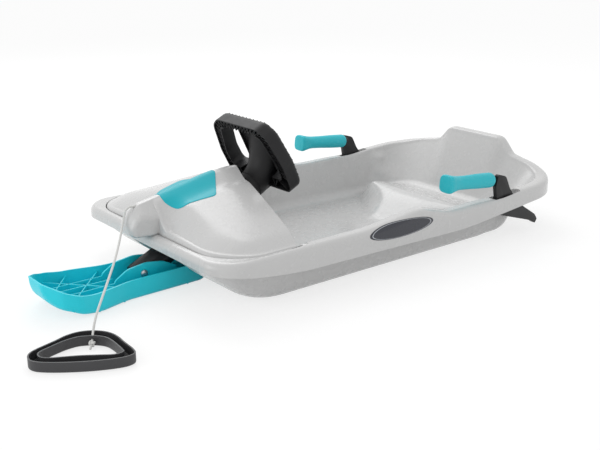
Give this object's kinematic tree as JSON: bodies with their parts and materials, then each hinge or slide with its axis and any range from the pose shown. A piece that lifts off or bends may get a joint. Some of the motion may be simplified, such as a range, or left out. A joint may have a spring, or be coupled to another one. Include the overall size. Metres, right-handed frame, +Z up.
{
  "type": "steerable bobsled",
  "caption": "Moulded plastic snow bobsled with a steering wheel that turns the front ski, side brake levers with grips, a front cowl and a tow cord with a pull handle.",
  "frame": {"origin": "on the ground, under the middle of the sled's length and width, cord and pull handle left out", "axes": "+X forward to the ski's tip, +Y to the rider's left, +Z up"},
  "size_m": [1.2238, 0.5298, 0.2869],
  "materials": {
    "shell_white": "moulded light grey-white plastic, soft gloss",
    "cowl_white": "moulded light grey-white plastic, soft gloss",
    "panel_cyan": "cyan plastic, glossy",
    "label_navy": "dark navy label with a soft sheen",
    "bearing_black": "black plastic, matt",
    "wheel_charcoal": "charcoal plastic, satin",
    "column_black": "near-black plastic, matt",
    "ski_cyan": "cyan plastic, soft gloss",
    "bolt_steel": "zinc-plated steel",
    "lever_black": "near-black plastic, satin",
    "grip_cyan": "cyan plastic grip with a fine pale speckle, satin",
    "pin_steel": "zinc-plated steel",
    "cord_white": "white laid cord",
    "handle_charcoal": "charcoal plastic, satin"
  },
  "bodies": {
    "sled": {"hull": "shell_white", "cowl": "cowl_white", "cowl_panel": "panel_cyan", "label_left": "label_navy", "label_right": "label_navy", "column_bearing": "bearing_black", "brake_pin_left": "pin_steel", "brake_pin_right": "pin_steel", "tow_cord": "cord_white", "tow_knot_nose": "cord_white", "tow_knot_handle": "cord_white", "pull_handle": "handle_charcoal"},
    "steering": {"steering_wheel": "wheel_charcoal", "steering_column": "column_black", "ski": "ski_cyan", "ski_bolt": "bolt_steel", "ski_nut": "bolt_steel"},
    "brake_left": {"brake_lever_left": "lever_black", "brake_grip_left": "grip_cyan"},
    "brake_right": {"brake_lever_right": "lever_black", "brake_grip_right": "grip_cyan"}
  },
  "joints": [
    {"name": "steering_turn", "type": "hinge", "parent": "sled", "child": "steering", "pos_m": [0.088, 0, 0.1614], "axis": [0.8988, 0, -0.4384], "range_deg": [-20, 20]},
    {"name": "brake_left_pull", "type": "hinge", "parent": "sled", "child": "brake_left", "pos_m": [-0.365, 0.237, 0.082], "axis": [0, -1, 0], "range_deg": [0, 22]},
    {"name": "brake_right_pull", "type": "hinge", "parent": "sled", "child": "brake_right", "pos_m": [-0.365, -0.237, 0.082], "axis": [0, -1, 0], "range_deg": [0, 22]}
  ]
}
